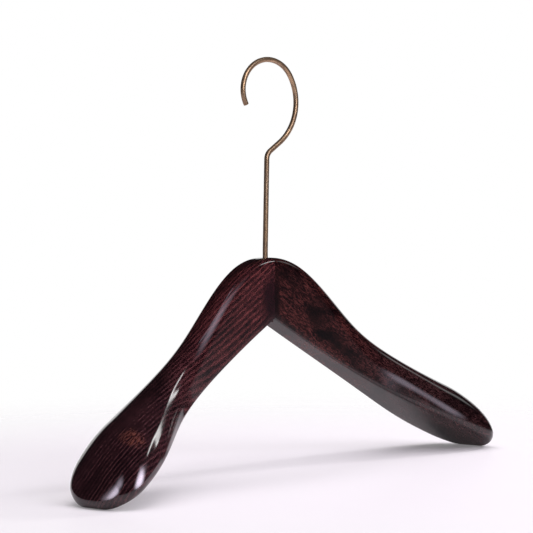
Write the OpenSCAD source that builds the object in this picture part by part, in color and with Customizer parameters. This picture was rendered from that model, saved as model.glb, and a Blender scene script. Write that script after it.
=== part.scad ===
// Wooden coat hanger with wide contoured shoulders and a swivelling wire hook.
// Two glued wooden arms meet at a mitre on the plane x = 0. They stand on two flat feet at z = 0.
// +X runs along the shoulders, +Y is the back of the hanger and +Z is up. All sizes are in mm.

/* [Shoulders] */
// Width across the two shoulder ends
span = 430; // [400:5:460]
// How far each shoulder end curves forward
sweep = 37; // [25:0.5:45]
// Shape of the forward curve: 1 is a straight arm, higher values bend later
sweep_power = 1.81; // [1.5:0.01:2.2]
// Slope of the flat underside, in degrees
underside_slope = 27.8; // [25:0.1:29]
// Width of the flat foot under each shoulder end, along the hanger
foot_w = 7; // [4:0.5:9]
// Depth, front to back, of the neck where the hook enters
neck_depth = 18.4; // [17:0.2:24]
// Radius of the softened edge along the underside
underside_edge_r = 0.9; // [0.5:0.1:1.6]

/* [Hook] */
// Diameter of the hook's wire
wire_d = 3.8; // [3.2:0.1:4.2]
// How far the hook is turned about its own upright at rest, in degrees
hook_turn = -14; // [-30:1:30]
// How far the upright leans towards the hook's round part, in degrees
upright_lean = 1.7; // [0:0.1:3]
// Height above the table of the middle of the round part of the hook
loop_z = 275; // [270:1:285]
// Radius of the round part of the hook, to the middle of the wire
loop_r = 22.5; // [21:0.5:26]
// Radius of the wider curve that leads the round part down to the upright
return_r = 37; // [32:0.5:40]
// Radius of the bend from that curve into the upright
elbow_r = 8; // [6:0.5:12]

/* [Swivel] */
// Outside diameter of the bush that the hook turns in
bush_d = 6; // [5.6:0.1:6.4]
// Diameter of the counterbore under the neck
counterbore_d = 11; // [10.8:0.1:11.4]
// Height of the counterbore's seat above the table
seat_z = 123.5; // [122:0.5:125]

/* [Hidden] */

arm_l = span / 2;
foot_x = arm_l - foot_w;

// Control values, evenly spaced from the mitre to the shoulder end, of the arm's smooth curves.
// Height of the top line above the table
top_line = [156, 150, 127, 97, 78.5, 62, 47.5, 35, 24];
// How far the arm reaches in front of and behind its middle line
front_half_depth = [neck_depth / 2, 9.2, 9.6, 10.5, 15.3, 28.6, 34, 30.5, 25.5];
back_half_depth = [neck_depth / 2, 9.4, 11, 14, 19, 26.5, 30.8, 27, 25];
// Share of the half depth, and of the height, that the rounded top corners take
corner_depth_share = [0.62, 0.66, 0.8, 0.94, 0.98, 0.98, 0.98, 0.98, 0.98];
corner_height_share = [0.07, 0.15, 0.3, 0.53, 0.8, 1, 1, 0.82, 0.7];

// The outline closes to the shoulder end as superellipses, each from its own station outwards.
// The front of the end is the rounder side, and the back is squarer, so the foot reaches further back.
front_close_x = 0.88 * arm_l;
front_close_power = 2.2;
back_close_x = 0.935 * arm_l;
back_close_power = 3;
top_close_x = 0.8 * arm_l;
top_close_power = 2.05;

// Resolution of the arm's surface
station_count = 56;
corner_steps = 9;
edge_steps = 2;

// Uniform cubic B-spline over its control values c, level where it crosses the mitre, at t = 0 to 1
function level_spline(c, t) = spline_at(concat([c[1]], c), t);
function spline_at(c, t) =
    let (spans = len(c) - 3, s = min(t * spans, spans - 1e-6), i = floor(s), f = s - i)
    ((1 - f) ^ 3 * c[i] + (3 * f ^ 3 - 6 * f ^ 2 + 4) * c[i + 1]
        + (-3 * f ^ 3 + 3 * f ^ 2 + 3 * f + 1) * c[i + 2] + f ^ 3 * c[i + 3]) / 6;

// From 1 down to 0 between x = start and the shoulder end
function closing(x, start, power) =
    let (s = max((x - start) / (arm_l - start), 0))
    (1 - s ^ power) ^ (1 / power);

function centre_y(x) = -sweep * (x / arm_l) ^ sweep_power;
function under_z(x) = max((foot_x - x) * tan(underside_slope), 0);
function front_depth(x) =
    level_spline(front_half_depth, x / arm_l) * closing(x, front_close_x, front_close_power);
function back_depth(x) =
    level_spline(back_half_depth, x / arm_l) * closing(x, back_close_x, back_close_power);
function height_at(x) =
    (level_spline(top_line, x / arm_l) - under_z(x)) * closing(x, top_close_x, top_close_power);

// One side of the arm's cross-section at x, of depth w, from the underside's edge up to the crest
function side_section(x, w) =
    let (
        h = height_at(x),
        cw = w * level_spline(corner_depth_share, x / arm_l),
        ch = h * min(level_spline(corner_height_share, x / arm_l), 0.97),
        r = min(underside_edge_r, 0.4 * w, 0.4 * (h - ch))
    )
    concat(
        [for (i = [0 : edge_steps]) let (a = 90 * i / edge_steps) [w - r + r * sin(a), r - r * cos(a)]],
        [for (i = [0 : corner_steps])
            let (a = 90 * i / corner_steps) [w - cw + cw * cos(a), h - ch + ch * sin(a)]]
    );
function section(x) =
    let (back = side_section(x, back_depth(x)), front = side_section(x, front_depth(x)), n = len(back))
    concat(
        [for (p = back) [x, centre_y(x) + p[0], under_z(x) + p[1]]],
        [for (i = [n - 1 : -1 : 0]) [x, centre_y(x) - front[i][0], under_z(x) + front[i][1]]]
    );

// Stations crowd towards the rounded shoulder end, where the last ring shrinks to one point
stations = [for (i = [0 : station_count - 1]) arm_l * (1 - (1 - i / station_count) ^ 1.8)];
ring_size = len(section(0));

// Front and back limits of the arms in plan, which set the hanger in the middle of its footprint
front_y = min([for (x = stations) centre_y(x) - front_depth(x)]);
back_y = max([for (x = stations) centre_y(x) + back_depth(x)]);
plan_shift = -(front_y + back_y) / 2;

// Swivel hardware, from the seat downwards
bush_gap = 0.02;
running_gap = 0.05;
bush_top_z = 150.5;
flange_d = 10;
flange_t = 1.5;
stub_d = 3;
wire_hole_d = wire_d + 0.6;
shoulder_z = seat_z + 3;
washer_d = 9;
washer_t = 1;
nut_across_flats = 7;
nut_t = 3.2;
washer_top_z = seat_z - flange_t - running_gap;
nut_top_z = washer_top_z - washer_t - running_gap;
stub_end_z = nut_top_z - nut_t - 1.5;
// How far a cutting tool runs past the surface that it cuts
overcut = 1;

// Loose tongues glued across the mitre
key_l = 40;
key_w = 12;
key_t = 5;
key_gap = 0.1;
upper_key_z = 143;
lower_key_z = 131;

// The hook's path in its own plane, where u runs across, z up, and the swivel's axis is u = 0.
// Headings are the wire's direction in degrees, from 0 along +u to 90 straight up.
loop_u = 4;
run_heading = 36.5;
loop_heading = 121.5;
tip_heading = 297.5;
return_u = loop_u + (loop_r - return_r) * cos(loop_heading - 90);
return_z = loop_z + (loop_r - return_r) * sin(loop_heading - 90);
run_u = return_u + return_r * cos(run_heading - 90);
run_z = return_z + return_r * sin(run_heading - 90);
// Just above the neck the upright bends over to its lean
lean_z = 157;
lean_r = 100;
upright_heading = 90 - upright_lean;
lean_end_u = lean_r * (1 - sin(upright_heading));
lean_end_z = lean_z + lean_r * cos(upright_heading);
// Length of the leaning upright up to where the straight run would meet it, and of the elbow's tangents
upright_l = ((run_z - lean_end_z) * cos(run_heading) - (run_u - lean_end_u) * sin(run_heading))
    / sin(upright_heading - run_heading);
elbow_tangent = elbow_r * tan((upright_heading - run_heading) / 2);
elbow_u = lean_end_u + (upright_l - elbow_tangent) * cos(upright_heading) + elbow_r * sin(upright_heading);
elbow_z = lean_end_z + (upright_l - elbow_tangent) * sin(upright_heading) - elbow_r * cos(upright_heading);

// Points [u, z, heading] along a bend about the centre [cu, cz]
function left_bend(cu, cz, r, from, to, steps) = [for (i = [0 : steps])
    let (h = from + (to - from) * i / steps) [cu + r * sin(h), cz - r * cos(h), h]];
function right_bend(cu, cz, r, from, to, steps) = [for (i = [0 : steps])
    let (h = from + (to - from) * i / steps) [cu - r * sin(h), cz + r * cos(h), h]];
// The path starts just inside the exact round part, so that the two fuse
fuse_l = 1;
wire_path = concat(
    [[0, lean_z - fuse_l, 90]],
    right_bend(lean_r, lean_z, lean_r, 90, upright_heading, 2),
    right_bend(elbow_u, elbow_z, elbow_r, upright_heading, run_heading, 8),
    left_bend(return_u, return_z, return_r, run_heading, loop_heading, 20),
    left_bend(loop_u, loop_z, loop_r, loop_heading + 5, tip_heading, 34)
);
tip_edge_r = 0.5;
wire_sides = 24;

// One ring of the wire at a path point, pushed ahead along the heading
function wire_ring(p, r, ahead = 0) = [for (i = [0 : wire_sides - 1])
    let (a = 360 * i / wire_sides, u = p[0] + r * cos(a) * sin(p[2]), z = p[1] - r * cos(a) * cos(p[2]))
    [u + ahead * cos(p[2]), r * sin(a), z + ahead * sin(p[2])]];

module solid_arm() {
    last = len(stations) * ring_size;
    points = concat([for (x = stations) each section(x)], [[arm_l, centre_y(arm_l), 0]]);
    sides = [for (s = [0 : len(stations) - 2], i = [0 : ring_size - 1])
        let (a = s * ring_size + i, b = s * ring_size + (i + 1) % ring_size)
        each [[a, b + ring_size, b], [a, a + ring_size, b + ring_size]]];
    end_fan = [for (i = [0 : ring_size - 1])
        let (a = last - ring_size + i, b = last - ring_size + (i + 1) % ring_size) [a, last, b]];
    mitre = [[for (i = [0 : ring_size - 1]) i]];
    polyhedron(points, concat(mitre, sides, end_fan), convexity = 6);
}

// Everything drilled and cut through the neck for the hook and the keys
module neck_cuts() {
    neck_top_z = height_at(0) + under_z(0);
    translate([0, 0, seat_z - overcut])
        cylinder(d = bush_d + 2 * bush_gap, h = bush_top_z - seat_z + overcut, $fn = 64);
    translate([0, 0, bush_top_z - overcut])
        cylinder(d = wire_hole_d, h = neck_top_z - bush_top_z + 2 * overcut, $fn = 64);
    translate([0, 0, under_z(0) - overcut])
        cylinder(d = counterbore_d, h = seat_z - under_z(0) + overcut, $fn = 64);
    for (z = [upper_key_z, lower_key_z])
        translate([0, 0, z]) key_blank(key_l + 2 * key_gap, key_w + 2 * key_gap, key_t + 2 * key_gap);
}

module arm() {
    difference() {
        solid_arm();
        neck_cuts();
    }
}

module right_arm() {
    color("#2b1114") translate([0, plan_shift, 0]) arm();
}

module left_arm() {
    color("#2b1114") translate([0, plan_shift, 0]) mirror([1, 0, 0]) arm();
}

// A bar along x with round long edges
module key_blank(l, w, t) {
    for (side = [-1, 1])
        translate([-l / 2, side * (w - t) / 2, 0]) rotate([0, 90, 0]) cylinder(d = t, h = l, $fn = 48);
    cube([l, w - t, t], center = true);
}

module joint_key(z) {
    color("#b98a5a") translate([0, plan_shift, z]) difference() {
        key_blank(key_l, key_w, key_t);
        cylinder(d = bush_d + 2 * bush_gap, h = 2 * key_t, center = true, $fn = 64);
    }
}

module upper_joint_key() {
    joint_key(upper_key_z);
}

module lower_joint_key() {
    joint_key(lower_key_z);
}

// The bent part of the wire, from inside the upright to the tip's softened edge
module bent_wire() {
    r = 0.995 * wire_d / 2;
    tip = wire_path[len(wire_path) - 1];
    rings = concat([for (p = wire_path) wire_ring(p, r)], [wire_ring(tip, r - tip_edge_r, tip_edge_r)]);
    first = [[for (i = [0 : wire_sides - 1]) i]];
    sides = [for (s = [0 : len(rings) - 2], i = [0 : wire_sides - 1])
        let (a = s * wire_sides + i, b = s * wire_sides + (i + 1) % wire_sides)
        each [[a, b + wire_sides, b], [a, a + wire_sides, b + wire_sides]]];
    last = [[for (i = [wire_sides - 1 : -1 : 0]) (len(rings) - 1) * wire_sides + i]];
    polyhedron([for (ring = rings) each ring], concat(first, sides, last), convexity = 6);
}

module hook() {
    color("#7a6248") translate([0, plan_shift, 0]) rotate([0, 0, hook_turn]) {
        translate([0, 0, stub_end_z]) cylinder(d = stub_d, h = shoulder_z - stub_end_z + overcut, $fn = 64);
        translate([0, 0, shoulder_z + running_gap])
            cylinder(d = wire_d, h = lean_z - shoulder_z - running_gap, $fn = 64);
        bent_wire();
    }
}

module swivel_bush() {
    wall = wire_d / 2 + running_gap;
    neck = stub_d / 2 + running_gap;
    color("#b5924c") translate([0, plan_shift, 0]) rotate_extrude($fn = 96) polygon([
        [neck, seat_z - flange_t], [flange_d / 2, seat_z - flange_t], [flange_d / 2, seat_z],
        [bush_d / 2, seat_z], [bush_d / 2, bush_top_z], [wall, bush_top_z],
        [wall, shoulder_z], [neck, shoulder_z]
    ]);
}

module thrust_washer() {
    color("#c9ccd0") translate([0, plan_shift, washer_top_z - washer_t]) difference() {
        cylinder(d = washer_d, h = washer_t, $fn = 64);
        translate([0, 0, -overcut])
            cylinder(d = stub_d + 2 * running_gap, h = washer_t + 2 * overcut, $fn = 64);
    }
}

module lock_nut() {
    color("#c9ccd0") translate([0, plan_shift, nut_top_z - nut_t]) difference() {
        cylinder(d = nut_across_flats / cos(30), h = nut_t, $fn = 6);
        translate([0, 0, -overcut])
            cylinder(d = stub_d + 2 * bush_gap, h = nut_t + 2 * overcut, $fn = 64);
    }
}

left_arm();
right_arm();
upper_joint_key();
lower_joint_key();
hook();
swivel_bush();
thrust_washer();
lock_nut();
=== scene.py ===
"""Looks of the wooden coat hanger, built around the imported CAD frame, in metres in the row frame."""

import math

import bpy
from mathutils import Matrix, Vector


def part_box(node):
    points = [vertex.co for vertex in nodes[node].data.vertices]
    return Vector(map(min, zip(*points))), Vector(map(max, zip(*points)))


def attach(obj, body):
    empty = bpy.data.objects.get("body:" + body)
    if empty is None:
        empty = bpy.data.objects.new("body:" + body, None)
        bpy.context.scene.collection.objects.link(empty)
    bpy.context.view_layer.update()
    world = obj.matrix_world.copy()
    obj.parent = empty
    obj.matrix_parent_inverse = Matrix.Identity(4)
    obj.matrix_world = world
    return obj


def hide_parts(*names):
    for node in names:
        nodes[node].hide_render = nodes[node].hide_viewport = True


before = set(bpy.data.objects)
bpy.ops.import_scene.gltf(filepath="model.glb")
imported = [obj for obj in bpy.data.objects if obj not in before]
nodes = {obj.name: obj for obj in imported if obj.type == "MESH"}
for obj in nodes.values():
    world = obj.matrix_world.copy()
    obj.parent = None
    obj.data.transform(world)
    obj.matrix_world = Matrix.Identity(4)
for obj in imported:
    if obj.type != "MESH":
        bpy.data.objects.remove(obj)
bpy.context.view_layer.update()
MM = 0.001

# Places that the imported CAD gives
ARM_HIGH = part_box("right_arm")[1]
BUSH_LOW, BUSH_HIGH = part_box("swivel_bush")
HOOK_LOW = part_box("hook")[0]
NUT_LOW, NUT_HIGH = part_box("lock_nut")
KEY_LOW, KEY_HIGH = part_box("upper_joint_key")
ARM_L = ARM_HIGH.x
AXIS_Y = (BUSH_LOW.y + BUSH_HIGH.y) / 2

# Arm, with control values evenly spaced from the mitre to the shoulder end
SWEEP = 37 * MM
SWEEP_POWER = 1.81
UNDERSIDE_SLOPE = math.radians(27.8)
NOSE_L = 5.5 * MM
NOSE_Z = 5 * MM
TOP_LINE = [156, 150, 127, 97, 78.5, 62, 47.5, 35, 24]
CORNER_DEPTH_SHARE = [0.62, 0.66, 0.8, 0.94, 0.98, 0.98, 0.98, 0.98, 0.98]
UNDER_EDGE_DEPTH = [1, 1, 1.2, 1.5, 2, 4, 8, 15, 20]
UNDER_EDGE_HEIGHT = [1, 1, 1.2, 1.5, 2, 3, 5.5, 11, 17]
EDGE_DEPTH_SHARE_MAX, EDGE_HEIGHT_SHARE_MAX, CORNER_HEIGHT_SHARE_MAX = 0.6, 0.5, 0.99
FRONT = {
    "half_depth": [9.2, 9.2, 9.6, 10.5, 15.3, 28.6, 34.3, 30.8, 25.5],
    "corner_height_share": [0.07, 0.15, 0.3, 0.53, 0.8, 1, 1, 1, 1],
    "close": (0.88 * ARM_L, 2.2),
}
BACK = {
    "half_depth": [9.2, 9.4, 11, 14, 19, 26.5, 30.8, 27, 25],
    "corner_height_share": [0.12, 0.3, 0.6, 0.9, 1, 1, 1, 1, 1],
    "close": (0.9 * ARM_L, 2.4),
}
TOP_CLOSE = (0.8 * ARM_L, 2.05)
MITRE_GROOVE = 0.12 * MM

# Swivel and hook
WIRE_R = 1.9 * MM
WIRE_HOLE_R = 2.2 * MM
BORE_R = 3.02 * MM
COUNTERBORE_R = 5.5 * MM
FLANGE_T = 1.5 * MM
STUB_R = 1.5 * MM
STUB_CHAMFER = 0.4 * MM
SHOULDER_Z = 126.55 * MM
HOOK_TURN = math.radians(-14)
LOOP_CENTRE = (4 * MM, 275 * MM)
LOOP_R = 22.5 * MM
RETURN_R = 37 * MM
ELBOW_R = 8 * MM
LEAN_R = 100 * MM
LEAN_Z = 157 * MM
# The wire's direction in the hook's own plane, in degrees from level, at the joins of its bends
UPRIGHT_HEADING = 90 - 1.7
RUN_HEADING = 36.5
LOOP_HEADING = 121.5
TIP_HEADING = 297.5
TIP_EDGE_R = 0.5 * MM

# Where the stain took unevenly, in mm: darker beside the joint, thinner on the left shoulder
JOINT_STAIN, JOINT_STAIN_SIZE = (-4, 15, 122), (15, 20, 26)
THIN_STAIN, THIN_STAIN_SIZE = (-184, -18, 44), (9, 12, 12)

# Colours, as linear red, green and blue
BURGUNDY_BLACK = (0.004, 0.0014, 0.002)
BURGUNDY_DARK = (0.010, 0.0026, 0.0036)
STAIN_RED = (0.1, 0.026, 0.024)
STAIN_BROWN = (0.068, 0.031, 0.033)
STAIN_THIN = (0.15, 0.048, 0.03)
PORE_BLACK = (0.004, 0.002, 0.003)
BRONZE = (0.45, 0.29, 0.175)
BRONZE_DARK = (0.17, 0.11, 0.075)
BRONZE_RUBBED = (0.58, 0.42, 0.3)
BRASS, BRASS_DARK = (0.62, 0.42, 0.16), (0.35, 0.2, 0.07)
ZINC, ZINC_DARK = (0.6, 0.61, 0.63), (0.35, 0.35, 0.36)
BEECH, BEECH_PALE, BEECH_FLECK = (0.36, 0.2, 0.1), (0.52, 0.33, 0.18), (0.2, 0.1, 0.05)
FLOOR_PALE = (0.80, 0.755, 0.80)
FLOOR_PALER = (0.82, 0.78, 0.82)
ROOM = (0.012, 0.011, 0.013)
ROOM_LOW = (0.8, 0.76, 0.82)
LAVENDER = (0.92, 0.82, 1)
PALE_LAVENDER = (0.96, 0.93, 1)
NEAR_WHITE = (1, 0.98, 1)

# Floor: how much it glows by itself, and the distances between which it fades out
FLOOR_GLOW = 0.15
FLOOR_SOLID_R = 0.12
FLOOR_FADE_R = 0.65

# The room's glow fades out between these heights of the view direction, where 0 is level and 1 is up
ROOM_LOW_END, ROOM_START = -0.3, 0.03

# What the lights aim at
MIDDLE = (0, 0, 80 * MM)
NECK = (-70 * MM, 12 * MM, 112 * MM)
LEFT_SHOULDER = (-190 * MM, -30 * MM, 26 * MM)
RIGHT_SHOULDER = (132 * MM, -9 * MM, 52 * MM)
HOOK_LOOP = (0, AXIS_Y, LOOP_CENTRE[1])


# ---------------------------------------------------------------- arm shape

def level_spline(control, t):
    """Uniform cubic B-spline over control values, level at t = 0."""
    c = [control[1]] + list(control)
    spans = len(c) - 3
    s = min(t * spans, spans - 1e-6)
    i = int(s)
    f = s - i
    return ((1 - f) ** 3 * c[i] + (3 * f ** 3 - 6 * f ** 2 + 4) * c[i + 1]
            + (-3 * f ** 3 + 3 * f ** 2 + 3 * f + 1) * c[i + 2] + f ** 3 * c[i + 3]) / 6


def closing(x, start_and_power):
    """From 1 down to 0 between x = start and the shoulder end."""
    start, power = start_and_power
    s = min(max((x - start) / (ARM_L - start), 0), 1)
    return (1 - s ** power) ** (1 / power)


def centre_y(x):
    """The arm's middle line, which sweeps forward from the mitre to the shoulder end."""
    return AXIS_Y - SWEEP * (x / ARM_L) ** SWEEP_POWER


def under_z(x):
    """The underside's height: a straight slope, then a quarter ellipse that turns up to the nose."""
    slope = math.tan(UNDERSIDE_SLOPE)
    reach = math.hypot(slope * NOSE_L, NOSE_Z)
    if x < ARM_L - NOSE_L - slope * NOSE_L ** 2 / reach:
        return (ARM_L - NOSE_L - x) * slope - reach + NOSE_Z
    return NOSE_Z - NOSE_Z * math.sqrt(max(1 - ((x - ARM_L + NOSE_L) / NOSE_L) ** 2, 0))


def line_between(a, b, steps):
    """Points strictly between a and b."""
    return [tuple(a[k] + (b[k] - a[k]) * i / steps for k in range(2)) for i in range(1, steps)]


def side_section(x, side, inset):
    """One side of the section at x, from the underside up to the crest, as (depth, height) pairs: a quarter
    ellipse round the lower edge, a straight wall, and a larger quarter ellipse round the upper corner."""
    t = x / ARM_L
    depth = level_spline(side["half_depth"], t) * MM * closing(x, side["close"]) - inset
    height = (level_spline(TOP_LINE, t) * MM - under_z(x)) * closing(x, TOP_CLOSE) - inset
    edge_w = min(level_spline(UNDER_EDGE_DEPTH, t) * MM, EDGE_DEPTH_SHARE_MAX * depth)
    edge_h = min(level_spline(UNDER_EDGE_HEIGHT, t) * MM, EDGE_HEIGHT_SHARE_MAX * height)
    corner_w = depth * level_spline(CORNER_DEPTH_SHARE, t)
    corner_h = (height - edge_h) * min(level_spline(side["corner_height_share"], t), CORNER_HEIGHT_SHARE_MAX)
    edge_steps, wall_steps, corner_steps = 9, 8, 26
    edge = [(depth - edge_w + edge_w * math.sin(a), inset + edge_h - edge_h * math.cos(a))
            for a in (math.pi / 2 * i / edge_steps for i in range(edge_steps + 1))]
    corner = [(depth - corner_w + corner_w * math.cos(a), height - corner_h + corner_h * math.sin(a))
              for a in (math.pi / 2 * i / corner_steps for i in range(corner_steps + 1))]
    return edge + line_between(edge[-1], corner[0], wall_steps) + corner


def section(x, inset=0.0):
    """The arm's whole closed section at x, as points in the row frame."""
    crest_steps, under_steps = 4, 8
    back = side_section(x, BACK, inset)
    front = [(-d, h) for d, h in reversed(side_section(x, FRONT, inset))]
    outline = (back + line_between(back[-1], front[0], crest_steps)
               + front + line_between(front[-1], back[0], under_steps))
    return [Vector((x, centre_y(x) + d, under_z(x) + h)) for d, h in outline]


def mesh_object(name, points, faces):
    """A new object in the scene from points and faces."""
    mesh = bpy.data.meshes.new(name)
    mesh.from_pydata([tuple(p) for p in points], [], faces)
    mesh.validate()
    obj = bpy.data.objects.new(name, mesh)
    bpy.context.scene.collection.objects.link(obj)
    return obj


def skin(rings):
    """Faces that join rings of equal size, closed round each ring."""
    n = len(rings[0])
    return [(s * n + i, s * n + (i + 1) % n, (s + 1) * n + (i + 1) % n, (s + 1) * n + i)
            for s in range(len(rings) - 1) for i in range(n)]


def arm(name, side):
    """One solid arm, its stations closer together near the shoulder end. side is 1 on +X and -1 on -X."""
    stations, crowding = 150, 1.6
    xs = [ARM_L * (1 - (1 - i / stations) ** crowding) for i in range(1, stations)]
    rings = [section(0, MITRE_GROOVE), section(MITRE_GROOVE)]
    rings += [section(x) for x in xs if x > 3 * MITRE_GROOVE]
    n = len(rings[0])
    points = [p for ring in rings for p in ring] + [Vector((ARM_L, centre_y(ARM_L), under_z(ARM_L)))]
    last = (len(rings) - 1) * n
    faces = skin(rings)
    faces += [(last + i, last + (i + 1) % n, len(points) - 1) for i in range(n)]
    faces.append(tuple(range(n - 1, -1, -1)))
    if side < 0:
        points = [Vector((-p.x, p.y, p.z)) for p in points]
    if side > 0:
        faces = [tuple(reversed(f)) for f in faces]
    return mesh_object(name, points, faces)


def round_bar(r, low, high, segments=72):
    """A cutter: a round bar about the hook's axis, between two heights."""
    ring = [(r * math.cos(a), AXIS_Y + r * math.sin(a))
            for a in (2 * math.pi * (i + 0.5) / segments for i in range(segments))]
    points = [(x, y, z) for z in (low, high) for x, y in ring]
    ends = [tuple(range(segments - 1, -1, -1)), tuple(range(segments, 2 * segments))]
    return mesh_object("cutter", points, skin([ring, ring]) + ends)


def key_bar(z, gap=0.1 * MM):
    """A cutter: the slot for a joint key at height z, a bar along X with round long edges."""
    half_l = KEY_HIGH.x + gap
    half_w = (KEY_HIGH.y - KEY_LOW.y) / 2 + gap
    r = (KEY_HIGH.z - KEY_LOW.z) / 2 + gap
    end_steps = 16
    outline = []
    for turn in (0, math.pi):
        for i in range(end_steps + 1):
            a = turn - math.pi / 2 + math.pi * i / end_steps
            shift = (half_w - r) * math.cos(turn)
            outline.append((AXIS_Y + shift + r * math.cos(a), z + r * math.sin(a)))
    points = [(x, y, h) for x in (-half_l, half_l) for y, h in outline]
    n = len(outline)
    ends = [tuple(range(n - 1, -1, -1)), tuple(range(n, 2 * n))]
    return mesh_object("cutter", points, skin([outline, outline]) + ends)


def cut(obj, cutters):
    """Cuts solids out of an object."""
    for cutter in cutters:
        modifier = obj.modifiers.new("cut", "BOOLEAN")
        modifier.operation = "DIFFERENCE"
        modifier.solver = "EXACT"
        modifier.object = cutter
    apply_modifiers(obj)


def apply_modifiers(obj):
    """Makes the object's mesh what its modifiers give."""
    made = bpy.data.meshes.new_from_object(obj.evaluated_get(bpy.context.evaluated_depsgraph_get()))
    obj.modifiers.clear()
    obj.data = made


def shade(obj, sharp_degrees=38):
    """Shades an object smooth, but not across edges sharper than an angle."""
    obj.data.polygons.foreach_set("use_smooth", [True] * len(obj.data.polygons))
    obj.data.set_sharp_from_angle(angle=math.radians(sharp_degrees))


def make_arms():
    """Both wooden halves, with the swivel's bore, the counterbore and the keys' slots cut out."""
    above, below = 5 * MM, 20 * MM
    key_heights = [(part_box(k)[0].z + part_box(k)[1].z) / 2 for k in ("upper_joint_key", "lower_joint_key")]
    cutters = [
        round_bar(BORE_R, BUSH_LOW.z, BUSH_HIGH.z),
        round_bar(WIRE_HOLE_R, BUSH_HIGH.z - MM, ARM_HIGH.z + above),
        round_bar(COUNTERBORE_R, NUT_LOW.z - below, BUSH_LOW.z + FLANGE_T),
    ] + [key_bar(z) for z in key_heights]
    arms = [arm("left_arm_wood", -1), arm("right_arm_wood", 1)]
    for obj in arms:
        cut(obj, cutters)
        shade(obj)
    for cutter in cutters:
        bpy.data.objects.remove(cutter)
    return arms


# ---------------------------------------------------------------- hook

def heading_vector(degrees):
    """Unit vector (u, z) in the hook's own plane, at an angle from level."""
    return Vector((math.cos(math.radians(degrees)), math.sin(math.radians(degrees))))


def bend(centre, r, start, end, steps, turn):
    """Points (u, z, heading) along a bend. turn is 1 to the left and -1 to the right."""
    headings = [start + (end - start) * i / steps for i in range(steps + 1)]
    return [(*(centre + turn * r * heading_vector(h - 90)), h) for h in headings]


def straight(start, end, heading, steps):
    """Points (u, z, heading) along a straight run, without its last point."""
    return [(*start.lerp(end, i / steps), heading) for i in range(steps)]


def hook_path():
    """The wire's centreline in the hook's own plane, from the shoulder up to the tip."""
    loop = Vector(LOOP_CENTRE)
    sweep = loop + (LOOP_R - RETURN_R) * heading_vector(LOOP_HEADING - 90)
    run_top = sweep + RETURN_R * heading_vector(RUN_HEADING - 90)
    lean_centre = Vector((LEAN_R, LEAN_Z))
    lean_top = lean_centre - LEAN_R * heading_vector(UPRIGHT_HEADING - 90)
    up, run = heading_vector(UPRIGHT_HEADING), heading_vector(RUN_HEADING)
    gap = run_top - lean_top
    turn = math.radians(UPRIGHT_HEADING - RUN_HEADING)
    corner = lean_top + up * (gap.y * run.x - gap.x * run.y) / math.sin(turn)
    tangent = ELBOW_R * math.tan(turn / 2)
    elbow_low, elbow_high = corner - up * tangent, corner + run * tangent
    elbow = elbow_low - ELBOW_R * heading_vector(UPRIGHT_HEADING + 90)
    return (straight(Vector((0, SHOULDER_Z)), Vector((0, LEAN_Z)), 90, 12)
            + bend(lean_centre, LEAN_R, 90, UPRIGHT_HEADING, 4, -1)[:-1]
            + straight(lean_top, elbow_low, UPRIGHT_HEADING, 30)
            + bend(elbow, ELBOW_R, UPRIGHT_HEADING, RUN_HEADING, 14, -1)[:-1]
            + straight(elbow_high, run_top, RUN_HEADING, 4)
            + bend(sweep, RETURN_R, RUN_HEADING, LOOP_HEADING, 50, 1)[:-1]
            + bend(loop, LOOP_R, LOOP_HEADING, TIP_HEADING, 80, 1))


def wire_ring(place, r, ahead=0.0, sides=48):
    """Points round the wire at a place (u, z, heading) on its path, or a little ahead of it."""
    u, z, heading = place
    h = math.radians(heading)
    ring = []
    for i in range(sides):
        a = 2 * math.pi * i / sides
        ring.append(Vector((u + r * math.cos(a) * math.sin(h) + ahead * math.cos(h), r * math.sin(a),
                            z - r * math.cos(a) * math.cos(h) + ahead * math.sin(h))))
    return ring


def make_hook():
    """The hook: threaded stub, shoulder, upright and bent wire, in one skin."""
    path = hook_path()
    tip = path[-1]
    stub_low = HOOK_LOW.z
    rings = [wire_ring((0, stub_low, 90), STUB_R - STUB_CHAMFER)]
    rings += thread_rings(stub_low, NUT_HIGH.z + MM)
    rings += [wire_ring((0, SHOULDER_Z, 90), STUB_R), wire_ring((0, SHOULDER_Z, 90), WIRE_R)]
    rings += [wire_ring(place, WIRE_R) for place in path[1:]]
    tip_steps = 5
    for i in range(1, tip_steps + 1):
        a = math.pi / 2 * i / tip_steps
        rings.append(wire_ring(tip, WIRE_R - TIP_EDGE_R * (1 - math.cos(a)), TIP_EDGE_R * math.sin(a)))
    points = [p for ring in rings for p in ring]
    n = len(rings[0])
    last = (len(rings) - 1) * n
    faces = skin(rings) + [tuple(range(n - 1, -1, -1)), tuple(range(last, last + n))]
    turn = Matrix.Translation((0, AXIS_Y, 0)) @ Matrix.Rotation(HOOK_TURN, 4, "Z")
    obj = mesh_object("hook_wire", [turn @ p for p in points], faces)
    store_flow(obj, rings)
    shade(obj)
    return obj


def store_flow(obj, rings):
    """Keeps each vertex's place round and along the wire, in mm, for the drawing marks in its material."""
    flow = obj.data.attributes.new("wire_flow", "FLOAT_VECTOR", "POINT")
    along, values = 0.0, []
    for s, ring in enumerate(rings):
        middle = sum(ring, Vector()) / len(ring)
        along += (middle - last_middle).length if s else 0.0
        last_middle = middle
        for i in range(len(ring)):
            a = 2 * math.pi * i / len(ring)
            values += [WIRE_R / MM * math.cos(a), WIRE_R / MM * math.sin(a), along / MM]
    flow.data.foreach_set("vector", values)


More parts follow.
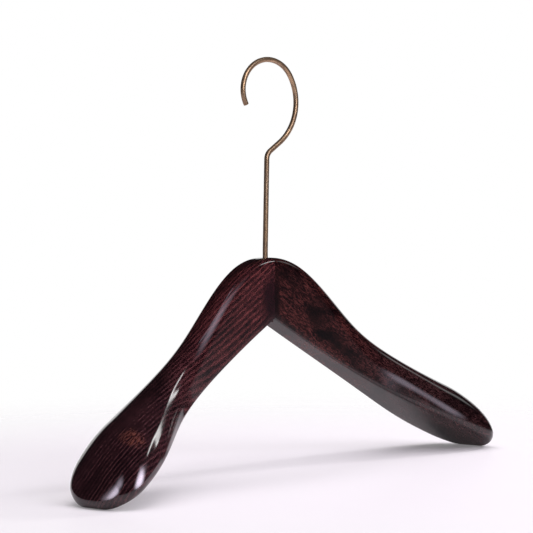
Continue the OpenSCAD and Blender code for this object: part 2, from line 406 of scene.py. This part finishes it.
def thread_rings(low, high, pitch=0.5 * MM, depth=0.22 * MM, per_turn=8):
    """Rings of a screw thread about the hook's axis: the radius falls and rises once a turn."""
    rings = []
    steps = round((high - low) / pitch * per_turn)
    for s in range(1, steps + 1):
        z = low + (high - low) * s / steps
        ring = wire_ring((0, z, 90), STUB_R)
        n = len(ring)
        for i, p in enumerate(ring):
            phase = (z / pitch - i / n) % 1
            fade = min(1, (high - z) / pitch, (z - low) / pitch)
            r = STUB_R - depth * fade * (1 - abs(2 * phase - 1))
            ring[i] = Vector((p.x * r / STUB_R, p.y * r / STUB_R, z))
        rings.append(ring)
    return rings


# ---------------------------------------------------------------- materials

# Which of a node's sockets: Texture Coordinate's outputs, and Mix's inputs and output for colours
TEX_NORMAL, TEX_OBJECT = 1, 3
MIX_A, MIX_B, MIX_RESULT = 6, 7, 2


class Graph:
    """A new material's node tree, with short calls to add nodes to it."""

    def __init__(self, name):
        self.material = bpy.data.materials.new(name)
        self.material.use_nodes = True
        self.tree = self.material.node_tree
        self.shader = self.tree.nodes["Principled BSDF"]

    def add(self, kind, inputs=(), output=0, **settings):
        """Adds a node, sets its inputs by name or number to values or sockets, and returns one output."""
        node = self.tree.nodes.new("ShaderNode" + kind)
        for key, value in settings.items():
            setattr(node, key, value)
        for key, value in dict(inputs).items():
            self.set(node.inputs[key], value)
        return node.outputs[output]

    def set(self, socket, value):
        """Links an input to another node's output, or gives it a value of its own."""
        if isinstance(value, bpy.types.NodeSocket):
            self.tree.links.new(value, socket)
        else:
            socket.default_value = value

    def coordinates(self, output=TEX_OBJECT):
        """The place on the object, or another output of Texture Coordinate."""
        return self.add("TexCoord", output=output)

    def math(self, operation, *values):
        return self.add("Math", enumerate(values), operation=operation)

    def times(self, first, second):
        return self.math("MULTIPLY", first, second)

    def vector(self, operation, *values):
        output = "Value" if operation == "DOT_PRODUCT" else 0
        return self.add("VectorMath", enumerate(values), output, operation=operation)

    def scaled(self, vector, factors):
        return self.vector("MULTIPLY", vector, factors)

    def drawn_out(self, vector, share):
        """Shrinks Z to a share, so that noise comes out long along it."""
        return self.scaled(vector, (1, 1, share))

    def wander(self, noise, amount):
        """Noise that runs about 0, up to half of amount either way."""
        return self.times(self.math("SUBTRACT", noise, 0.5), amount)

    def noise(self, vector, scale, detail=2.0, roughness=0.5, distortion=0.0):
        """Noise from 0 to 1, with about scale features in each unit of vector."""
        return self.add("TexNoise", {"Vector": vector, "Scale": scale, "Detail": detail,
                                     "Roughness": roughness, "Distortion": distortion})

    def ramp(self, value, low, high, start=0.0, end=1.0):
        """Runs smoothly from start to end as value goes from low to high."""
        return self.add("MapRange", {0: value, 1: low, 2: high, 3: start, 4: end},
                        interpolation_type="SMOOTHSTEP")

    def blend(self, share, first, second):
        """Mixes two colours by share."""
        colours = [(*c, 1) if isinstance(c, tuple) and len(c) == 3 else c for c in (first, second)]
        return self.add("Mix", {0: share, MIX_A: colours[0], MIX_B: colours[1]}, MIX_RESULT, data_type="RGBA")

    def bump(self, height, distance, strength):
        """A normal for relief: distance in metres is how high it stands where height is 1."""
        return self.add("Bump", {"Height": height, "Distance": distance, "Strength": strength})

    def finish(self, **inputs):
        """Sets the shader's inputs, named with _ for each space, and returns the material."""
        for key, value in inputs.items():
            self.set(self.shader.inputs[key.replace("_", " ")], value)
        return self.material


def in_mm(g):
    """Object coordinates, which are the row frame's, in mm."""
    return g.scaled(g.coordinates(), (1 / MM,) * 3)


def wood_space(g, ring_normal, fibre, offset):
    """Object coordinates in mm, turned so that Y crosses the growth rings and Z follows the fibres."""
    y = Vector(ring_normal).normalized()
    z = (Vector(fibre) - y * y.dot(Vector(fibre))).normalized()
    place = g.vector("ADD", in_mm(g), offset)
    parts = [g.vector("DOT_PRODUCT", place, axis) for axis in (y.cross(z), y, z)]
    return g.add("CombineXYZ", enumerate(parts)), parts


def near(g, centre, size):
    """1 at a place on the hanger, falling to 0 at about size from it, with a ragged edge. Both are in mm."""
    raggedness, full_share = 0.9, 0.35
    gap = g.vector("SUBTRACT", in_mm(g), centre)
    gap = g.scaled(gap, tuple(1 / s for s in size))
    rag = g.wander(g.noise(gap, 2.5, 4.0, 0.7), raggedness)
    away = g.math("ADD", g.math("SQRT", g.vector("DOT_PRODUCT", gap, gap)), rag)
    return g.ramp(away, full_share, 1.0, 1.0, 0.0)


def growth_rings(g, place, across, ring_gap):
    """The late wood of each year's ring, from 0 to 1. The rings wander a little and differ in strength."""
    along = g.drawn_out(place, 0.2)
    warp = g.wander(g.noise(along, 0.03, 2.0), 2.2 * ring_gap)
    wobble = g.wander(g.noise(along, 0.45, 3.0), 0.55 * ring_gap)
    rings = g.math("DIVIDE", g.math("ADD", g.math("ADD", across, warp), wobble), ring_gap)
    year = g.add("TexWhiteNoise", {"W": g.math("FLOOR", rings)}, noise_dimensions="1D")
    part = g.math("FRACT", rings)
    late = g.times(g.ramp(part, 0.12, 0.5), g.ramp(part, 0.5, 0.92, 1.0, 0.0))
    return g.times(late, g.math("ADD", g.times(year, 0.5), 0.5))


def stain_colour(g, light, patches, pores, flecks):
    """The stain's colour: near black, redder where light is high, browner towards the shoulder."""
    shoulder = g.ramp(g.math("ABSOLUTE", g.add("SeparateXYZ", {0: g.coordinates()})),
                      60 * MM, 150 * MM)
    tint = g.blend(g.times(shoulder, 0.8), STAIN_RED, STAIN_BROWN)
    colour = g.blend(g.ramp(patches, 0.3, 0.7), BURGUNDY_BLACK, BURGUNDY_DARK)
    colour = g.blend(g.math("MINIMUM", light, 1.0), colour, tint)
    colour = g.blend(g.times(pores, 0.75), colour, PORE_BLACK)
    bare = g.times(near(g, THIN_STAIN, THIN_STAIN_SIZE), g.ramp(flecks, 0.42, 0.62, 0.0, 0.75))
    return g.blend(bare, colour, STAIN_THIN)


def lacquer(g, place, flecks):
    """The clear coat's inputs: gloss all round, but thinner and duller on the underside."""
    facing_up = g.add("SeparateXYZ", {0: g.coordinates(TEX_NORMAL)}, output=2)
    beneath = g.ramp(facing_up, -0.85, -0.6, 1.0, 0.0)
    rough = g.math("ADD", g.ramp(flecks, 0.3, 0.8, 0.08, 0.12), g.times(beneath, 0.16))
    return {"Coat_Weight": g.math("SUBTRACT", 1.0, g.times(beneath, 0.45)),
            "Coat_IOR": 1.52, "Coat_Roughness": rough,
            "Coat_Normal": g.bump(g.noise(place, 0.12, 1.0), 0.004 * MM, 0.4)}


def stained_wood(name, ring_normal, fibre, offset, ring_gap, ring_share, mottle_share):
    """Ash under a near-black burgundy stain and a clear gloss lacquer."""
    g = Graph(name)
    place, (_, across, _) = wood_space(g, ring_normal, fibre, offset)
    late = growth_rings(g, place, across, ring_gap)
    fibres = g.noise(g.drawn_out(place, 0.07), 1.6, 4.0, 0.65)
    pores = g.ramp(g.noise(g.drawn_out(place, 0.09), 2.6, 2.0, 0.6), 0.56, 0.68)
    patches = g.noise(g.drawn_out(place, 0.45), 0.055, 4.0, 0.62, 0.4)
    flecks = g.noise(g.drawn_out(place, 0.25), 1.0, 4.0, 0.72, 0.3)
    mottle = g.times(g.ramp(patches, 0.32, 0.62), g.ramp(flecks, 0.42, 0.62))
    light = g.times(g.times(late, ring_share), g.ramp(fibres, 0.25, 0.7, 0.35, 1.0))
    light = g.math("ADD", light, g.times(mottle, mottle_share))
    light = g.times(light, g.math("SUBTRACT", 1.0, near(g, JOINT_STAIN, JOINT_STAIN_SIZE)))
    relief = g.math("SUBTRACT", g.times(late, 0.5), pores)
    return g.finish(Base_Color=stain_colour(g, light, patches, pores, flecks), Roughness=0.5,
                    Specular_IOR_Level=0.0, Normal=g.bump(relief, 0.04 * MM, 0.6),
                    **lacquer(g, place, flecks))


def drawn_bronze():
    """Antique bronze plating on drawn wire: lengthwise marks, darker in places, rubbed brighter in others."""
    g = Graph("antique_bronze")
    flow = g.add("Attribute", output="Vector", attribute_name="wire_flow")
    marks = g.noise(g.drawn_out(flow, 0.03), 1.4, 3.0, 0.6)
    tarnish = g.noise(g.drawn_out(flow, 0.25), 0.35, 4.0, 0.65)
    colour = g.blend(g.ramp(tarnish, 0.35, 0.68), BRONZE_DARK, BRONZE)
    colour = g.blend(g.ramp(marks, 0.45, 0.75, 0.0, 0.6), colour, BRONZE_RUBBED)
    return g.finish(Base_Color=colour, Metallic=0.9, Roughness=g.ramp(tarnish, 0.3, 0.75, 0.42, 0.3),
                    Normal=g.bump(marks, 0.012 * MM, 0.4))


def turned_metal(name, colour, dark, roughness):
    """Turned or plated metal: fine rings from the lathe, slight tarnish, and a softer shine where it is
    tarnished.
    """
    g = Graph(name)
    place = in_mm(g)
    tool_marks = g.noise(g.scaled(place, (0.15, 0.15, 1)), 5.0, 3.0, 0.6)
    tarnish = g.noise(place, 0.6, 4.0, 0.6)
    return g.finish(Base_Color=g.blend(g.ramp(tarnish, 0.4, 0.75), colour, dark), Metallic=1.0,
                    Roughness=g.ramp(tarnish, 0.3, 0.7, roughness, roughness + 0.15),
                    Normal=g.bump(tool_marks, 0.02 * MM, 0.4))


def bare_beech():
    """Planed beech for the keys inside the joint: pale, with short dark flecks along the grain."""
    g = Graph("bare_beech")
    place = in_mm(g)
    grain = g.noise(g.scaled(place, (0.08, 1, 1)), 0.9, 4.0, 0.6)
    flecks = g.ramp(g.noise(g.scaled(place, (0.2, 1, 1)), 2.4, 2.0), 0.58, 0.66)
    colour = g.blend(g.ramp(grain, 0.3, 0.7), BEECH, BEECH_PALE)
    colour = g.blend(g.times(flecks, 0.5), colour, BEECH_FLECK)
    return g.finish(Base_Color=colour, Roughness=0.6, Normal=g.bump(grain, 0.03 * MM, 0.4))


def table_top():
    """The pale table, which fades out into the white studio some way from the hanger."""
    g = Graph("table_top")
    place = g.coordinates()
    cloud = g.noise(place, 3.0, 2.0)
    colour = g.blend(cloud, FLOOR_PALE, FLOOR_PALER)
    material = g.finish(Base_Color=colour, Roughness=0.55, Specular_IOR_Level=0.3,
                        Emission_Color=colour, Emission_Strength=FLOOR_GLOW)
    clear = g.add("BsdfTransparent")
    away = g.math("SQRT", g.vector("DOT_PRODUCT", place, place))
    fade = g.ramp(away, FLOOR_SOLID_R, FLOOR_FADE_R)
    mixed = g.add("MixShader", {0: fade, 1: g.shader.outputs[0], 2: clear})
    g.set(g.tree.nodes["Material Output"].inputs["Surface"], mixed)
    return material


# ---------------------------------------------------------------- camera, floor and light

def make_camera():
    """The photograph's view: a long lens, low down, 50 degrees round from the front."""
    azimuth, elevation = math.radians(-50.204), math.radians(3.456)
    distance, target = 1364.29 * MM, Vector((0, AXIS_Y - 20 * MM, 100 * MM))
    pan, tilt, roll = math.radians(0.606), math.radians(-2.006), math.radians(-0.425)
    place = target + towards(azimuth, elevation) * distance
    back = towards(azimuth + pan, elevation + tilt)
    right = Vector((math.cos(azimuth + pan), math.sin(azimuth + pan), 0))
    up = back.cross(right)
    right, up = right * math.cos(roll) + up * math.sin(roll), up * math.cos(roll) - right * math.sin(roll)
    data = bpy.data.cameras.new("camera")
    data.sensor_width, data.lens = 36, 127.96  # both in mm
    data.clip_start, data.clip_end = 0.05, 50
    camera = bpy.data.objects.new("camera", data)
    bpy.context.scene.collection.objects.link(camera)
    camera.matrix_world = Matrix.Translation(place) @ Matrix((right, up, back)).transposed().to_4x4()
    bpy.context.scene.camera = camera


def towards(azimuth, elevation):
    """Unit vector from the object outwards. Azimuth 0 is -Y, in front of the hanger, and 90 is +X."""
    return Vector((math.sin(azimuth) * math.cos(elevation), -math.cos(azimuth) * math.cos(elevation),
                   math.sin(elevation)))


def area_light(name, aim, azimuth, elevation, distance, size, radiance, colour=(1, 1, 1), soft=False,
               in_gloss=True, in_diffuse=True):
    """A lamp that faces the place aim, from a direction in degrees and a distance. radiance is how bright it
    looks, where 1 is a white wall. soft dims it towards its rim. in_gloss and in_diffuse say whether it
    shows in reflections, and whether it lights what lies under them."""
    data = bpy.data.lights.new(name, "AREA")
    data.shape = "RECTANGLE"
    data.size, data.size_y = size
    data.color = colour
    data.energy = radiance * math.pi * size[0] * size[1]
    light = bpy.data.objects.new(name, data)
    bpy.context.scene.collection.objects.link(light)
    outwards = towards(math.radians(azimuth), math.radians(elevation))
    light.location = Vector(aim) + outwards * distance
    light.rotation_mode = "QUATERNION"
    light.rotation_quaternion = outwards.to_track_quat("Z", "Y")
    light.visible_camera = False
    light.visible_glossy = in_gloss
    light.visible_diffuse = in_diffuse
    if soft:
        fade_edges(data)
    return light


def flag_off(light, *pieces):
    """Keeps a lamp off everything but some pieces, as flags in front of it do."""
    lit = bpy.data.collections.new(light.name + "_lights")
    for piece in pieces:
        lit.objects.link(piece)
    light.light_linking.receiver_collection = lit


def fade_edges(data):
    """Makes a lamp bright in the middle and dark at its rim, in coordinates from 0 to 1 across it."""
    middle, full_r, dark_r = (0.5, 0.5, 0), 0.1, 0.5
    data.use_nodes = True
    tree = data.node_tree
    place = tree.nodes.new("ShaderNodeNewGeometry")
    gap = tree.nodes.new("ShaderNodeVectorMath")
    gap.operation = "DISTANCE"
    gap.inputs[1].default_value = middle
    fade = tree.nodes.new("ShaderNodeMapRange")
    fade.interpolation_type = "SMOOTHSTEP"
    for i, value in enumerate((full_r, dark_r, 1, 0), start=1):
        fade.inputs[i].default_value = value
    tree.links.new(place.outputs["Parametric"], gap.inputs[0])
    tree.links.new(gap.outputs["Value"], fade.inputs[0])
    tree.links.new(fade.outputs[0], tree.nodes["Emission"].inputs["Strength"])


def make_floor():
    """A round table top, a little wider than where it has faded out."""
    margin = 1.05
    bpy.ops.mesh.primitive_circle_add(vertices=128, radius=FLOOR_FADE_R * margin, fill_type="NGON")
    floor = bpy.context.object
    floor.name = "table_top"
    set_material(floor, table_top())
    return floor


def make_world():
    """White where the camera looks past the object. What lights it is dim, with a pale glow from below."""
    world = bpy.data.worlds.new("studio")
    bpy.context.scene.world = world
    world.use_nodes = True
    tree = world.node_tree
    seen, room = tree.nodes["Background"], tree.nodes.new("ShaderNodeBackground")
    seen.inputs["Color"].default_value = (1, 1, 1, 1)
    place, height = tree.nodes.new("ShaderNodeTexCoord"), tree.nodes.new("ShaderNodeSeparateXYZ")
    tree.links.new(place.outputs["Generated"], height.inputs[0])
    fade, tone = tree.nodes.new("ShaderNodeMapRange"), tree.nodes.new("ShaderNodeMix")
    fade.interpolation_type = "SMOOTHERSTEP"
    for i, value in enumerate((ROOM_LOW_END, ROOM_START, 0, 1), start=1):
        fade.inputs[i].default_value = value
    tree.links.new(height.outputs["Z"], fade.inputs[0])
    tone.data_type = "RGBA"
    tree.links.new(fade.outputs[0], tone.inputs[0])
    tone.inputs[MIX_A].default_value, tone.inputs[MIX_B].default_value = (*ROOM_LOW, 1), (*ROOM, 1)
    tree.links.new(tone.outputs[MIX_RESULT], room.inputs["Color"])
    path, mix = tree.nodes.new("ShaderNodeLightPath"), tree.nodes.new("ShaderNodeMixShader")
    tree.links.new(path.outputs["Is Camera Ray"], mix.inputs[0])
    tree.links.new(room.outputs[0], mix.inputs[1])
    tree.links.new(seen.outputs[0], mix.inputs[2])
    tree.links.new(mix.outputs[0], tree.nodes["World Output"].inputs["Surface"])


def set_material(obj, material):
    """Gives an object one material."""
    obj.data.materials.clear()
    obj.data.materials.append(material)


# ---------------------------------------------------------------- the scene

left, right = make_arms()
hook = make_hook()
for obj, node, body, slot in ((left, "left_arm", "hanger_body", "stained_wood"),
                              (right, "right_arm", "hanger_body", "stained_wood"),
                              (hook, "hook", "swivel_hook", "hook_bronze")):
    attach(obj, body)
    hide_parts(node)
set_material(left, stained_wood(
    "left_stained_wood", ring_normal=(-0.32, 0.80, 0.51), fibre=(-0.8, -0.1, -0.6),
    offset=(0, 0, 0), ring_gap=2.5, ring_share=0.68, mottle_share=0.35))
set_material(right, stained_wood(
    "right_stained_wood", ring_normal=(0.1, 0.98, 0.12), fibre=(0.85, 0, -0.5),
    offset=(40, 90, 10), ring_gap=2.9, ring_share=0.15, mottle_share=1.1))
set_material(hook, drawn_bronze())
set_material(nodes["swivel_bush"], turned_metal("turned_brass", BRASS, BRASS_DARK, 0.25))
zinc = turned_metal("zinc_plate", ZINC, ZINC_DARK, 0.3)
beech = bare_beech()
for name in ("thrust_washer", "lock_nut"):
    set_material(nodes[name], zinc)
for name in ("upper_joint_key", "lower_joint_key"):
    set_material(nodes[name], beech)

floor = make_floor()
make_world()

# Lamps for the photograph's highlights and shadows. The numbers are azimuth and elevation in degrees,
# distance, width and height, and radiance
flag_off(area_light("key_strip", LEFT_SHOULDER, 74.3, 28.5, 1.0, (0.05, 0.26), 9), left)
flag_off(area_light("key_strip_top", LEFT_SHOULDER, 66.5, 35.5, 1.0, (0.2, 0.065), 9), left)
flag_off(area_light("side_card", LEFT_SHOULDER, 28, 12, 0.5, (0.66, 0.62), 10, LAVENDER, soft=True), left)
flag_off(area_light("window", LEFT_SHOULDER, -88, 16, 1.2, (1.5, 1.7), 4.5, LAVENDER, soft=True), left)
flag_off(area_light("side_shine", LEFT_SHOULDER, 26, 18, 0.5, (0.5, 0.6), 12, LAVENDER,
                    soft=True, in_diffuse=False), left)
flag_off(area_light("window_shine", LEFT_SHOULDER, -86, 24, 1.2, (0.9, 1.7), 9, LAVENDER,
                    soft=True, in_diffuse=False), left)
flag_off(area_light("neck_card", NECK, 25, 40, 1.3, (0.03, 0.25), 4, LAVENDER), left)
flag_off(area_light("rim", RIGHT_SHOULDER, 72, 32, 1.5, (0.5, 0.5), 1.2, soft=True), right)
flag_off(area_light("low_card", RIGHT_SHOULDER, 7, 5, 1.2, (0.55, 0.55), 3.4, LAVENDER, soft=True), right)
flag_off(area_light("key_shadow", MIDDLE, 78, 27, 2.0, (0.25, 0.25), 60, in_gloss=False), floor, right, hook)
area_light("fill", MIDDLE, 5, 30, 1.8, (1.2, 1.0), 4.4, PALE_LAVENDER, in_gloss=False)
area_light("backdrop", MIDDLE, 130, 6, 1.3, (2.2, 0.5), 1.0)
flag_off(area_light("overhead", MIDDLE, 0, 90, 1.2, (1.6, 1.6), 2.25, NEAR_WHITE, in_gloss=False),
         floor, hook)
flag_off(area_light("hook_card", HOOK_LOOP, -25, 25, 1.2, (0.45, 0.8), 10), hook)

make_camera()
bpy.context.scene.view_settings.view_transform = "Standard"
